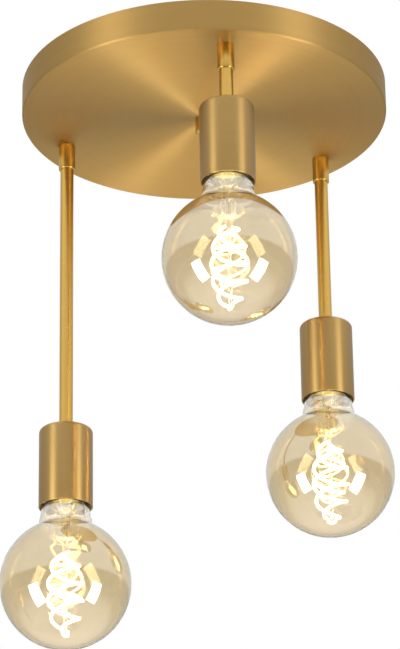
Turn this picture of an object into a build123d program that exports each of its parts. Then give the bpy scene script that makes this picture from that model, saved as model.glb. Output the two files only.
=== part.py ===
from build123d import *
import math
import os

# Semi flush ceiling light: a shallow round canopy, three rods of unlike length set in a ring, and on each rod
# a cup with an E27 lampholder and a globe lamp. Millimetres. +Z is up, the origin is where the canopy's centre
# line meets the ceiling, and the front rod stands on the -Y side.

# Canopy, a spun pan that is open towards the ceiling
canopy_diameter = 273
canopy_height = 24
canopy_sheet = 1.2
canopy_edge_radius = 1.8
rod_ring_radius = 113

# Fine tube thread M10x1, shared by stud, nipples, rods, nuts and lampholders
thread_diameter = 10
tube_bore = 8
thread_gap = 0.05
nut_flats = 14
nut_height = 3
washer_diameter = 16
washer_thickness = 0.8

# Ceiling bracket, a bent strip whose web stands off the ceiling
bracket_length = 140
bracket_width = 25
bracket_thickness = 2
bracket_standoff = 8
bracket_bend = 45
web_half_length = 42
slot_inset = 10
slot_length = 12
slot_width = 5

# Cap nut that holds the canopy to the stud
cap_nut_diameter = 13.5
cap_nut_height = 12.5
cap_nut_roof = 3
cap_nut_dome = 2
stud_top_reach = 2

# Rods and their collars
collar_diameter = 12.5
collar_length = 20
collar_chamfer = 0.7
nipple_engagement = 9.5
nipple_proud = 1.2
tube_end_gap = 0.5

# Cups
cup_diameter = 39.5
cup_length = 61
cup_sheet = 1.0
cup_shoulder_radius = 3.5

# Lampholder: a cap on the rod's end, a body with a floor, a threaded shell and a spring contact
holder_diameter = 34
holder_wall = 2
holder_cap_height = 19
holder_neck_diameter = 15
holder_neck_height = 4.5
holder_shoulder_chamfer = 4
floor_thickness = 3
floor_sink = 1
spigot_height = 2.5
socket_depth = 29
fit_gap = 0.1
shell_wall = 0.5
shell_mouth_inset = 1
shell_flange_bore = 16
contact_width = 5
contact_thickness = 0.5
contact_base_reach = 5.5
contact_depth = 2.7
contact_fold_radius = 0.6
contact_tip_offset = 0.5
contact_tail_reach = 4
contact_tail_rise = 1

# E27 lamp cap and its globe, heights counted from the globe's centre
lamp_thread_diameter = 26.4
lamp_thread_gap = 0.4
lamp_tip_height = 89.5
lamp_tip_thickness = 1.5
lamp_tip_diameter = 9.6
lamp_tip_dome = 1
lamp_cap_length = 27
cap_shell_sheet = 0.4
cap_shell_length = 22.5
cap_shell_taper = 2.5
cap_lip_diameter = 16
insulator_diameter = 20.5
insulator_flange = 1.6
insulator_flange_diameter = 19
insulator_top_diameter = 10.4
globe_diameter = 95
glass_wall = 1.0
neck_root_radius = 20
neck_top_radius = 18.1
neck_shoulder_radius = 4.8
neck_shoulder_drop = 0.5
neck_insertion = 4
lamp_seat_gap = 0.3

# Glass stem inside the globe
flare_wall = 1
flare_length = 14
press_radius = 3.4
press_length = 7
stem_rod_radius = 1
stem_rod_end = -36.4

# Spiral filament: two strands half a turn apart, joined by a hook below the stem rod
filament_diameter = 2
filament_radius = 13
filament_top = 24
filament_bottom = -36
filament_turns = 2.25
filament_steps_per_turn = 4
filament_swell = 0.45
strand_end_radius = 2.6

# Support wires round the stem rod
lead_in_diameter = 0.8
bead_radius = 2
bead_gap = 0.05
bead_height = 2
crown_level = 30
crown_wires = 6
crown_wire_diameter = 0.7
crown_reach = 10.5
crown_elbow = 6.5
crown_rise = 8.5
crown_elbow_rise = 1.5
crown_bend_radius = 2

# Driver board in the lamp cap
board_thickness = 1.6
capacitor_diameter = 8
capacitor_height = 8
chip_size = 5
chip_height = 1.6
chip_offset = 7.5

# Terminal block under the bracket's web
block_length = 26
block_depth = 17
block_height = 11.8
block_corner_radius = 1.5
block_centre_x = 27
pole_pitch = 8
clamp_width = 5
clamp_depth = 10
clamp_height = 8.7
clamp_top_cover = 0.8
clamp_gap = 0.1
wire_slot_width = 2.6
wire_slot_height = 6.9
wire_slot_cover = 0.8
port_width = 4.4
port_height = 8
clamp_screw_diameter = 3
clamp_screw_spacing = 5
clamp_screw_recess = 0.4
screw_slot_width = 0.6
screw_slot_depth = 0.8
peg_diameter = 3
peg_length = 2.6
peg_spacing = 18

# Earth screw on the web
earth_screw_x = -25
earth_screw_diameter = 4
earth_screw_length = 6
earth_flange_diameter = 9
earth_flange_thickness = 1.2
earth_head_diameter = 7
earth_head_height = 2.4

# Insulated leads
lead_diameter = 2
lead_spread = 1.6
lead_stack_pitch = 2.3
lead_insertion = 3
lead_arc_share = 0.45
arch_rise = 12.8
approach_run = 24
approach_drop = 3
live_hole_reach = 3.5
neutral_hole_reach = 9.5
wire_hole_diameter = 2.3
upper_bend_height = 11
lower_bend_height = 3.5
earth_tail_start = 4
earth_tail_end = -3
earth_tail_dip = 0.02
earth_approach_y = 13
earth_approach_shift = 1.5

# Drops from the canopy to the cups
front_drop = 49
right_drop = 140
left_drop = 233

# Each pendant: its name, its bearing round the ring counted from the front, the drop from the canopy to its
# cup, how far its lamp is turned in the holder, and its leads' place in the stack at the terminal block.
pendants = [
    ("front", 0, front_drop, 20, 2),
    ("right", 120, right_drop, 75, 0),
    ("left", 240, left_drop, 130, 1),
]

# Levels and places that follow from the sizes above
canopy_radius = canopy_diameter / 2
pan_floor = canopy_sheet - canopy_height
thread_radius = thread_diameter / 2
thread_bore_radius = thread_radius + thread_gap
tube_bore_radius = tube_bore / 2
slot_spacing = bracket_length - 2 * slot_inset
web_top = -bracket_standoff
web_bottom = web_top - bracket_thickness
block_bottom = web_bottom - block_height
clamp_top = web_bottom - clamp_top_cover
clamp_bottom = clamp_top - clamp_height
wire_slot_top = clamp_top - wire_slot_cover
wire_slot_bottom = wire_slot_top - wire_slot_height
nipple_top = pan_floor + washer_thickness + nut_height + nipple_proud
collar_bottom = -canopy_height - collar_length
holder_radius = holder_diameter / 2
holder_to_floor = cup_sheet + nut_height + holder_cap_height + floor_sink + floor_thickness
lamp_thread_radius = lamp_thread_diameter / 2
shell_bore_radius = lamp_thread_radius + lamp_thread_gap
socket_bore_radius = shell_bore_radius + shell_wall + fit_gap
globe_radius = globe_diameter / 2
cap_rim = lamp_tip_height - lamp_cap_length
cap_bore_radius = lamp_thread_radius - cap_shell_sheet
neck_tube_radius = cap_bore_radius - fit_gap
board_level = cap_rim + neck_insertion + fit_gap

os.makedirs("parts", exist_ok=True)


def save(piece, label):
    """Name a finished piece and write it to its file."""
    piece.part.label = label
    export_step(piece.part, f"parts/{label}.step")


def ring_place(bearing):
    """Where a rod stands on the ring, seen from above."""
    angle = math.radians(bearing)
    return rod_ring_radius * math.sin(angle), -rod_ring_radius * math.cos(angle)


def upright(x, y, z, turn=0):
    """A standing sketch plane at a point: its x runs outwards at the given turn, its y runs up."""
    angle = math.radians(turn)
    return Plane(
        origin=(x, y, z),
        x_dir=(math.cos(angle), math.sin(angle), 0),
        z_dir=(math.sin(angle), -math.cos(angle), 0),
    )


def level(x, y, z, turn=0):
    """A level sketch plane at a point, its x at the given turn."""
    angle = math.radians(turn)
    return Plane(origin=(x, y, z), x_dir=(math.cos(angle), math.sin(angle), 0), z_dir=(0, 0, 1))


def plumb(x, y):
    """The vertical axis through a point."""
    return Axis((x, y, 0), (0, 0, 1))


# ---------------------------------------------------------------- canopy

with BuildPart() as canopy_pan:
    with BuildSketch(Plane.XY.offset(-canopy_height)):
        Circle(canopy_radius)
    extrude(amount=canopy_height)
    fillet(canopy_pan.edges().group_by(Axis.Z)[0], radius=canopy_edge_radius)
    offset(amount=-canopy_sheet, openings=canopy_pan.faces().sort_by(Axis.Z)[-1])
    with BuildSketch(Plane.XY.offset(-canopy_height)):
        Circle(thread_bore_radius)
        with Locations([ring_place(bearing) for _, bearing, *_ in pendants]):
            Circle(thread_bore_radius)
    extrude(amount=canopy_sheet, mode=Mode.SUBTRACT)
save(canopy_pan, "canopy_pan")

with BuildPart() as ceiling_bracket:
    bend_shift = bracket_thickness * math.tan(math.radians(bracket_bend / 2))
    ramp_end = web_half_length + bracket_standoff / math.tan(math.radians(bracket_bend))
    with BuildSketch(Plane.XZ):
        with BuildLine():
            Polyline(
                (0, web_top),
                (web_half_length, web_top),
                (ramp_end, 0),
                (bracket_length / 2, 0),
                (bracket_length / 2, -bracket_thickness),
                (ramp_end + bend_shift, -bracket_thickness),
                (web_half_length + bend_shift, web_bottom),
                (0, web_bottom),
                close=True,
            )
        make_face()
        mirror(about=Plane.YZ)
    extrude(amount=bracket_width / 2, both=True)
    with BuildSketch(Plane.XY):
        with GridLocations(slot_spacing, 0, 2, 1):
            SlotOverall(slot_length, slot_width)
    extrude(amount=-bracket_thickness, mode=Mode.SUBTRACT)
    with BuildSketch(Plane.XY.offset(web_top)):
        Circle(thread_bore_radius)
        with Locations((earth_screw_x, 0)):
            Circle(earth_screw_diameter / 2 + thread_gap)
        with Locations((block_centre_x, 0)):
            with GridLocations(peg_spacing, 0, 2, 1):
                Circle(peg_diameter / 2 + fit_gap)
    extrude(amount=-bracket_thickness, mode=Mode.SUBTRACT)
save(ceiling_bracket, "ceiling_bracket")

with BuildPart() as bracket_stud:
    stud_top = web_top + nut_height + stud_top_reach
    stud_bottom = -canopy_height - cap_nut_height + cap_nut_roof + tube_end_gap
    with BuildSketch(Plane.XY.offset(stud_bottom)):
        Circle(thread_radius)
        Circle(tube_bore_radius, mode=Mode.SUBTRACT)
    extrude(amount=stud_top - stud_bottom)
save(bracket_stud, "bracket_stud")

with BuildPart() as cap_nut:
    with BuildSketch(Plane.XY.offset(-canopy_height)):
        Circle(cap_nut_diameter / 2)
    extrude(amount=-cap_nut_height)
    fillet(cap_nut.edges().group_by(Axis.Z)[0], radius=cap_nut_dome)
    with BuildSketch(Plane.XY.offset(-canopy_height)):
        Circle(thread_bore_radius)
    extrude(amount=cap_nut_roof - cap_nut_height, mode=Mode.SUBTRACT)
save(cap_nut, "cap_nut")

with BuildPart() as pendant_nipples:
    nipple_bottom = -canopy_height - nipple_engagement
    with BuildSketch(Plane.XY.offset(nipple_bottom)):
        with Locations([ring_place(bearing) for _, bearing, *_ in pendants]):
            Circle(thread_radius)
            Circle(tube_bore_radius, mode=Mode.SUBTRACT)
    extrude(amount=nipple_top - nipple_bottom)
save(pendant_nipples, "pendant_nipples")

with BuildPart() as lock_washers:
    with BuildSketch(Plane.XY.offset(pan_floor)):
        with Locations([ring_place(bearing) for _, bearing, *_ in pendants]):
            Circle(washer_diameter / 2)
            Circle(thread_bore_radius, mode=Mode.SUBTRACT)
    extrude(amount=washer_thickness)
save(lock_washers, "lock_washers")

# The nuts are alike: two clamp the stud to the web, three hold the nipples and three hold the cups.
nut_places = [(0, 0, web_top), (0, 0, web_bottom - nut_height)]
for _, bearing, drop, _, _ in pendants:
    rod_x, rod_y = ring_place(bearing)
    nut_places.append((rod_x, rod_y, pan_floor + washer_thickness))
    nut_places.append((rod_x, rod_y, -canopy_height - drop - cup_sheet - nut_height))

with BuildPart() as lock_nuts:
    for nut_x, nut_y, nut_z in nut_places:
        with BuildSketch(level(nut_x, nut_y, nut_z)):
            RegularPolygon(nut_flats / 2, 6, major_radius=False)
            Circle(thread_bore_radius, mode=Mode.SUBTRACT)
        extrude(amount=nut_height)
save(lock_nuts, "lock_nuts")

with BuildPart() as rod_collars:
    with BuildSketch(Plane.XY.offset(collar_bottom)):
        with Locations([ring_place(bearing) for _, bearing, *_ in pendants]):
            Circle(collar_diameter / 2)
    extrude(amount=collar_length)
    chamfer(rod_collars.edges().group_by(Axis.Z)[0], length=collar_chamfer)
    with BuildSketch(Plane.XY.offset(collar_bottom)):
        with Locations([ring_place(bearing) for _, bearing, *_ in pendants]):
            Circle(thread_bore_radius)
    extrude(amount=collar_length, mode=Mode.SUBTRACT)
save(rod_collars, "rod_collars")

# ---------------------------------------------------------------- terminal block and earth screw

pole_xs = [block_centre_x + pole * pole_pitch for pole in (-1, 0, 1)]
screw_ys = (-clamp_screw_spacing / 2, clamp_screw_spacing / 2)

with BuildPart() as terminal_block:
    with BuildSketch(Plane.XY.offset(block_bottom)):
        with Locations((block_centre_x, 0)):
            RectangleRounded(block_length, block_depth, block_corner_radius)
    extrude(amount=block_height)
    for pole_x in pole_xs:
        with BuildSketch(upright(pole_x, block_depth / 2, (wire_slot_top + wire_slot_bottom) / 2)):
            Rectangle(port_width, port_height)
        extrude(amount=block_depth, mode=Mode.SUBTRACT)
        with BuildSketch(upright(pole_x, clamp_depth / 2 + clamp_gap, (clamp_top + clamp_bottom) / 2)):
            Rectangle(clamp_width + 2 * clamp_gap, clamp_height + 2 * clamp_gap)
        extrude(amount=clamp_depth + 2 * clamp_gap, mode=Mode.SUBTRACT)
    with BuildSketch(Plane.XY.offset(block_bottom)):
        with Locations([(pole_x, screw_y) for pole_x in pole_xs for screw_y in screw_ys]):
            Circle(clamp_screw_diameter / 2 + fit_gap)
    extrude(amount=clamp_bottom - block_bottom, mode=Mode.SUBTRACT)
    with BuildSketch(Plane.XY.offset(web_bottom)):
        with Locations((block_centre_x, 0)):
            with GridLocations(peg_spacing, 0, 2, 1):
                Circle(peg_diameter / 2)
    extrude(amount=peg_length)
save(terminal_block, "terminal_block")

with BuildPart() as terminal_clamps:
    for pole_x in pole_xs:
        with BuildSketch(upright(pole_x, clamp_depth / 2, (clamp_top + clamp_bottom) / 2)):
            Rectangle(clamp_width, clamp_height)
            with Locations((0, (wire_slot_top + wire_slot_bottom - clamp_top - clamp_bottom) / 2)):
                Rectangle(wire_slot_width, wire_slot_height, mode=Mode.SUBTRACT)
        extrude(amount=clamp_depth)
    with BuildSketch(Plane.XY.offset(clamp_bottom)):
        with Locations([(pole_x, screw_y) for pole_x in pole_xs for screw_y in screw_ys]):
            Circle(clamp_screw_diameter / 2 + thread_gap)
    extrude(amount=wire_slot_bottom - clamp_bottom, mode=Mode.SUBTRACT)
save(terminal_clamps, "terminal_clamps")

with BuildPart() as terminal_screws:
    screw_head = block_bottom + clamp_screw_recess
    with BuildSketch(Plane.XY.offset(screw_head)):
        with Locations([(pole_x, screw_y) for pole_x in pole_xs for screw_y in screw_ys]):
            Circle(clamp_screw_diameter / 2)
    extrude(amount=wire_slot_bottom - screw_head)
    with BuildSketch(Plane.XY.offset(screw_head)):
        with Locations([(pole_x, screw_y) for pole_x in pole_xs for screw_y in screw_ys]):
            Rectangle(clamp_screw_diameter, screw_slot_width)
    extrude(amount=screw_slot_depth, mode=Mode.SUBTRACT)
save(terminal_screws, "terminal_screws")

with BuildPart() as earth_screw:
    flange_top = web_bottom - lead_diameter - fit_gap
    with BuildSketch(level(earth_screw_x, 0, flange_top)):
        Circle(earth_screw_diameter / 2)
    extrude(amount=lead_diameter + fit_gap + earth_screw_length)
    with BuildSketch(level(earth_screw_x, 0, flange_top)):
        Circle(earth_flange_diameter / 2)
    extrude(amount=-earth_flange_thickness)
    with BuildSketch(level(earth_screw_x, 0, flange_top - earth_flange_thickness)):
        Circle(earth_head_diameter / 2)
    extrude(amount=-earth_head_height)
    with BuildSketch(level(earth_screw_x, 0, flange_top - earth_flange_thickness - earth_head_height)):
        Rectangle(earth_head_diameter, screw_slot_width)
        Rectangle(screw_slot_width, earth_head_diameter)
    extrude(amount=screw_slot_depth, mode=Mode.SUBTRACT)
save(earth_screw, "earth_screw")

# ---------------------------------------------------------------- leads

lead_radius = lead_diameter / 2
stack_top = wire_slot_top - lead_radius - fit_gap
lead_end_y = lead_insertion - clamp_depth / 2
arch_level = nipple_top + arch_rise

# The plan of each lead from the terminal block towards its nipple or the earth screw, its points chosen by hand:
# x, y and how far the lead has sunk below its level at the block.
canopy_routes = {
    "front_live_lead": [(19, -18, 0.6), (13, -40, 4), (3, -66, 3)],
    "front_neutral_lead": [(27, -18, 0.6), (20, -41, 4), (7, -67, 3)],
    "right_live_lead": [(19.5, -21, 0.1), (44, -29, 0.5), (73, 6, 2)],
    "right_neutral_lead": [(28, -17, 0.1), (45, -22, 0.5), (68, 8, 2)],
    "left_live_lead": [(18.5, -19, 0.4), (-4, -28, 1.8), (-42, -20, 4), (-70, 14, 3)],
    "left_neutral_lead": [(26.5, -23, 0.5), (-4, -35, 1.9), (-46, -25, 4), (-76, 13, 3)],
    "earth_lead": [(34.5, 19, 0.5), (12, 26, 2.5), (-14, 25, 1.5)],
}


def beside_rod(bearing, live_side, back=0):
    """A place beside a rod in plan: so far to the live side, and so far back towards the canopy's centre."""
    angle = math.radians(bearing)
    rod_x, rod_y = ring_place(bearing)
    return (
        rod_x - live_side * math.cos(angle) - back * math.sin(angle),
        rod_y - live_side * math.sin(angle) + back * math.cos(angle),
    )


def corner_radii(route):
    """The arc at each corner of a lead's route, as large as its two runs allow."""
    radii = []
    for before, corner, after in zip(route, route[1:], route[2:]):
        run_in = Vector(*corner) - Vector(*before)
        run_out = Vector(*after) - Vector(*corner)
        half_turn = math.radians(run_in.get_angle(run_out) / 2)
        radii.append(lead_arc_share * min(run_in.length, run_out.length) / math.tan(half_turn))
    return radii


def lay_lead(route, label):
    """A round lead along straight runs and tangent arcs."""
    radii = corner_radii(route)
    with BuildPart() as lead:
        with BuildLine() as path:
            FilletPolyline(*route, radius=radii)
        with BuildSketch(Plane(origin=route[0], z_dir=Vector(*route[1]) - Vector(*route[0]))):
            Circle(lead_radius)
        sweep(path=path.wires()[0])
    save(lead, label)
    length = path.wires()[0].length
    fill = lead.part.volume / (math.pi * lead_radius**2 * length)
    print(f"{label}: length {length:.1f}, volume over section times length {fill:.4f}")
    print("  radii", [round(radius, 1) for radius in radii])


for name, bearing, drop, _, stack in pendants:
    start_level = stack_top - stack * lead_stack_pitch
    holder_floor = -canopy_height - drop - holder_to_floor + floor_thickness
    for kind, pole_x, spread, hole_reach in (
        ("live", pole_xs[0], lead_spread, live_hole_reach),
        ("neutral", pole_xs[1], -lead_spread, -neutral_hole_reach),
    ):
        label = f"{name}_{kind}_lead"
        route = [(pole_x, lead_end_y, start_level)]
        route += [(x, y, start_level - sunk) for x, y, sunk in canopy_routes[label]]
        route.append((*beside_rod(bearing, spread, approach_run), arch_level - approach_drop))
        route.append((*beside_rod(bearing, spread), arch_level))
        route.append((*beside_rod(bearing, spread), holder_floor + upper_bend_height))
        route.append((*beside_rod(bearing, hole_reach), holder_floor + lower_bend_height))
        route.append((*beside_rod(bearing, hole_reach), holder_floor - floor_thickness))
        lay_lead(route, label)

earth_level = stack_top - lead_stack_pitch
earth_end_x = earth_screw_x - earth_screw_diameter / 2 - lead_radius - fit_gap
earth_end_level = web_bottom - lead_radius - fit_gap / 2
earth_route = [(pole_xs[2], -lead_end_y, earth_level)]
earth_route += [(x, y, earth_level - sunk) for x, y, sunk in canopy_routes["earth_lead"]]
earth_route += [
    (earth_end_x + earth_approach_shift, earth_approach_y, earth_end_level - earth_approach_shift),
    (earth_end_x, earth_tail_start, earth_end_level - earth_tail_dip),
    (earth_end_x, earth_tail_end, earth_end_level),
]
lay_lead(earth_route, "earth_lead")

# ---------------------------------------------------------------- pendants


def strand_place(share):
    """A place on the falling strand of the right-handed spiral, on the globe's axes."""
    angle = math.radians(-360 * filament_turns * share)
    swell = max(math.sin(math.pi * share), 0) ** filament_swell
    radius = strand_end_radius + (filament_radius - strand_end_radius) * swell
    height = filament_top + (filament_bottom - filament_top) * share
    return Vector(radius * math.cos(angle), radius * math.sin(angle), height)


def filament_stations():
    """Places and ways along the whole filament: down one strand, and up the other half a turn round."""
    steps = round(filament_turns * filament_steps_per_turn)
    falling = [(strand_place(0), Vector(0, 0, -1))]
    for step in range(1, steps):
        share, nudge = step / steps, 0.001
        way = (strand_place(share + nudge) - strand_place(share - nudge)).normalized()
        falling.append((strand_place(share), way))
    falling.append((strand_place(1), Vector(0, 0, -1)))
    rising = [(Vector(-p.X, -p.Y, p.Z), Vector(way.X, way.Y, -way.Z)) for p, way in reversed(falling)]
    return falling + rising


def biarc_points(start, start_way, end, end_way):
    """The two arcs that join two stations smoothly, each as its start, middle and end."""
    across, ways = end - start, start_way + end_way
    spare = 2 * (1 - start_way.dot(end_way))
    reach = (math.sqrt(across.dot(ways) ** 2 + spare * across.dot(across)) - across.dot(ways)) / spare
    corners = (start + start_way * reach, end - end_way * reach)
    joint = (corners[0] + corners[1]) / 2
    arcs = []
    for low, corner, high in ((start, corners[0], joint), (joint, corners[1], end)):
        weight = (high - low).length / reach
        arcs.append((low, (low + corner * weight + high) / (2 + weight), high))
    return arcs


def least_gap(wire, diameter):
    """The least gap between stretches of a wire that lie over a quarter turn apart along it."""
    count = 600
    points = [tuple(wire @ (index / count)) for index in range(count + 1)]
    apart = math.ceil(count * math.pi * filament_radius / 2 / wire.length)
    distances = (math.dist(points[i], other) for i in range(count) for other in points[i + apart :])
    return min(distances) - diameter


with BuildPart() as holder_contacts:
    for name, bearing, drop, *_ in pendants:
        x, y = ring_place(bearing)
        floor_bottom = -canopy_height - drop - holder_to_floor
        with BuildSketch(upright(x, y, floor_bottom, bearing + 180)):
            base_level = -contact_thickness / 2
            tip_level = contact_thickness / 2 - contact_depth
            with BuildLine():
                FilletPolyline(
                    (contact_base_reach, base_level),
                    (-contact_base_reach, base_level),
                    (contact_tip_offset, tip_level),
                    (contact_tail_reach, tip_level + contact_tail_rise),
                    radius=contact_fold_radius,
                )
            trace(line_width=contact_thickness)
        extrude(amount=contact_width / 2, both=True)
save(holder_contacts, "holder_contacts")

for name, bearing, drop, lamp_turn, _ in pendants:
    x, y = ring_place(bearing)
    cup_top = -canopy_height - drop
    holder_top = cup_top - cup_sheet - nut_height
    holder_shoulder = holder_top - holder_neck_height
    holder_joint = holder_top - holder_cap_height
    floor_bottom = cup_top - holder_to_floor
    floor_top = floor_bottom + floor_thickness
    holder_mouth = floor_bottom - socket_depth
    globe = floor_bottom - contact_depth - lamp_seat_gap - lamp_tip_height

    with BuildPart() as rod:
        rod_top = -canopy_height - nipple_engagement - tube_end_gap
        rod_end = holder_shoulder - holder_wall
        with BuildSketch(level(x, y, rod_end)):
            Circle(thread_radius)
            Circle(tube_bore_radius, mode=Mode.SUBTRACT)
        extrude(amount=rod_top - rod_end)
    save(rod, f"{name}_rod")

    with BuildPart() as cup:
        with BuildSketch(level(x, y, cup_top - cup_length)):
            Circle(cup_diameter / 2)
        extrude(amount=cup_length)
        fillet(cup.edges().group_by(Axis.Z)[-1], radius=cup_shoulder_radius)
        offset(amount=-cup_sheet, openings=cup.faces().sort_by(Axis.Z)[0])
        with BuildSketch(level(x, y, cup_top)):
            Circle(thread_bore_radius)
        extrude(amount=-cup_sheet, mode=Mode.SUBTRACT)
    save(cup, f"{name}_cup")

    with BuildPart() as holder_cap:
        with BuildSketch(level(x, y, holder_joint)):
            Circle(holder_radius)
        extrude(amount=holder_shoulder - holder_joint)
        chamfer(holder_cap.edges().group_by(Axis.Z)[-1], length=holder_shoulder_chamfer)
        offset(amount=-holder_wall, openings=holder_cap.faces().sort_by(Axis.Z)[0])
        with BuildSketch(level(x, y, holder_shoulder)):
            Circle(holder_neck_diameter / 2)
        extrude(amount=holder_neck_height)
        with BuildSketch(level(x, y, holder_top)):
            Circle(thread_bore_radius)
        extrude(amount=-holder_neck_height - holder_wall, mode=Mode.SUBTRACT)
    save(holder_cap, f"{name}_holder_cap")

    with BuildPart() as holder_body:
        with BuildSketch(level(x, y, holder_mouth)):
            Circle(holder_radius)
        extrude(amount=holder_joint - holder_mouth)
        with BuildSketch(level(x, y, holder_joint)):
            Circle(holder_radius - holder_wall - fit_gap)
        extrude(amount=spigot_height)
        with BuildSketch(level(x, y, floor_top)):
            Circle(holder_radius - 2 * holder_wall)
        extrude(amount=floor_sink + spigot_height, mode=Mode.SUBTRACT)
        with BuildSketch(level(x, y, holder_mouth)):
            Circle(socket_bore_radius)
        extrude(amount=socket_depth, mode=Mode.SUBTRACT)
        with BuildSketch(level(x, y, floor_top, bearing + 180)):
            with Locations((live_hole_reach, 0), (-neutral_hole_reach, 0)):
                Circle(wire_hole_diameter / 2)
        extrude(amount=-floor_thickness, mode=Mode.SUBTRACT)
    save(holder_body, f"{name}_holder_body")

    with BuildPart() as screw_shell:
        with BuildSketch(level(x, y, floor_bottom)):
            Circle(shell_bore_radius + shell_wall)
        extrude(amount=shell_mouth_inset - socket_depth)
        offset(amount=-shell_wall, openings=screw_shell.faces().sort_by(Axis.Z)[0])
        with BuildSketch(level(x, y, floor_bottom)):
            Circle(shell_flange_bore / 2)
        extrude(amount=-shell_wall, mode=Mode.SUBTRACT)
    save(screw_shell, f"{name}_screw_shell")

    # The lamp's sketches stand on the globe's centre.
    with BuildPart() as glass:
        junction = math.sqrt(globe_radius**2 - neck_root_radius**2)
        junction_angle = math.degrees(math.atan2(junction, neck_root_radius))
        shoulder = cap_rim - neck_shoulder_drop
        with BuildSketch(upright(x, y, globe)):
            with BuildLine():
                Line((neck_tube_radius, cap_rim + neck_insertion), (neck_tube_radius, shoulder))
                FilletPolyline(
                    (neck_tube_radius, shoulder),
                    (neck_top_radius, shoulder),
                    (neck_root_radius, junction),
                    radius=neck_shoulder_radius,
                )
                CenterArc((0, 0), globe_radius, junction_angle, -90 - junction_angle)
                offset(amount=glass_wall, side=Side.RIGHT)
            make_face()
        revolve(axis=plumb(x, y))
    save(glass, f"{name}_glass")

    with BuildPart() as stem:
        rim = cap_rim + neck_insertion - neck_shoulder_drop
        rim_radius = neck_tube_radius - glass_wall - fit_gap
        press_top = rim - flare_length
        with BuildSketch(upright(x, y, globe)):
            Polygon(
                (0, press_top),
                (press_radius - flare_wall, press_top),
                (rim_radius - flare_wall, rim),
                (rim_radius, rim),
                (press_radius, press_top),
                (press_radius, press_top - press_length),
                (stem_rod_radius, press_top - press_length),
                (stem_rod_radius, stem_rod_end),
                (0, stem_rod_end),
                align=None,
            )
        revolve(axis=plumb(x, y))
    save(stem, f"{name}_stem")

    with BuildPart() as filament:
        turned = level(x, y, globe, lamp_turn)
        stations = [(turned.from_local_coords(at), way.rotate(Axis.Z, lamp_turn)) for at, way in filament_stations()]
        with BuildLine() as winding:
            for here, there in zip(stations, stations[1:]):
                for arc in biarc_points(*here, *there):
                    ThreePointArc(*arc)
        with BuildSketch(Plane(origin=stations[0][0], z_dir=stations[0][1])):
            Circle(filament_diameter / 2)
        sweep(path=winding.wires()[0])
    save(filament, f"{name}_filament")
    tightest = min(edge.radius for edge in winding.edges())
    gap = least_gap(winding.wires()[0], filament_diameter)
    print(f"{name}_filament: {len(winding.edges())} arcs, least gap to itself {gap:.2f}, tightest arc {tightest:.2f}")

    with BuildPart() as filament_supports:
        with BuildSketch(level(x, y, globe + crown_level - bead_height / 2)):
            Circle(bead_radius)
        extrude(amount=bead_height)
        for wire in range(crown_wires):
            spoke = upright(x, y, globe + crown_level, lamp_turn + 360 * (wire + 0.5) / crown_wires)
            with BuildLine(spoke) as hook:
                FilletPolyline(
                    (stem_rod_radius + bead_gap, 0),
                    (crown_elbow, crown_elbow_rise),
                    (crown_reach, crown_rise),
                    radius=crown_bend_radius,
                )
            with BuildSketch(Plane(origin=hook.wires()[0] @ 0, z_dir=hook.wires()[0] % 0)):
                Circle(crown_wire_diameter / 2)
            sweep(path=hook.wires()[0])
        with BuildSketch(level(x, y, globe + crown_level - bead_height)):
            Circle(stem_rod_radius + bead_gap)
        extrude(amount=2 * bead_height, mode=Mode.SUBTRACT)
        with BuildSketch(level(x, y, globe + filament_top, lamp_turn)):
            with Locations((strand_end_radius, 0), (-strand_end_radius, 0)):
                Circle(lead_in_diameter / 2)
        extrude(amount=press_top - press_length - filament_top)
    save(filament_supports, f"{name}_filament_supports")

    with BuildPart() as cap_shell:
        shell_top = cap_rim + cap_shell_length
        with BuildSketch(upright(x, y, globe)):
            with BuildLine():
                Polyline(
                    (lamp_thread_radius, cap_rim),
                    (lamp_thread_radius, shell_top - cap_shell_taper),
                    (insulator_diameter / 2, shell_top),
                    (cap_lip_diameter / 2, shell_top),
                )
                offset(amount=cap_shell_sheet, side=Side.LEFT)
            make_face()
        revolve(axis=plumb(x, y))
    save(cap_shell, f"{name}_cap_shell")

    with BuildPart() as cap_insulator:
        tip_seat = lamp_tip_height - lamp_tip_thickness
        lip_radius = cap_lip_diameter / 2 - fit_gap / 2
        with BuildSketch(upright(x, y, globe)):
            Polygon(
                (0, shell_top - cap_shell_sheet - insulator_flange),
                (insulator_flange_diameter / 2, shell_top - cap_shell_sheet - insulator_flange),
                (insulator_flange_diameter / 2, shell_top - cap_shell_sheet),
                (lip_radius, shell_top - cap_shell_sheet),
                (lip_radius, shell_top),
                (insulator_top_diameter / 2, tip_seat),
                (0, tip_seat),
                align=None,
            )
        revolve(axis=plumb(x, y))
    save(cap_insulator, f"{name}_cap_insulator")

    with BuildPart() as contact_tip:
        with BuildSketch(level(x, y, globe + tip_seat)):
            Circle(lamp_tip_diameter / 2)
        extrude(amount=lamp_tip_thickness)
        fillet(contact_tip.edges().group_by(Axis.Z)[-1], radius=lamp_tip_dome)
    save(contact_tip, f"{name}_contact_tip")

    with BuildPart() as driver:
        with BuildSketch(level(x, y, globe + board_level)):
            Circle(cap_bore_radius - fit_gap)
        extrude(amount=board_thickness)
        with BuildSketch(level(x, y, globe + board_level + board_thickness, lamp_turn)):
            Circle(capacitor_diameter / 2)
        extrude(amount=capacitor_height)
        with BuildSketch(level(x, y, globe + board_level + board_thickness, lamp_turn)):
            with Locations((chip_offset, 0), (-chip_offset, 0)):
                Rectangle(chip_size / 2, chip_size)
        extrude(amount=chip_height)
    save(driver, f"{name}_driver")
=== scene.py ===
import math

import bmesh
import bpy
from bpy.props import FloatProperty, FloatVectorProperty
from mathutils import Matrix, Vector


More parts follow.
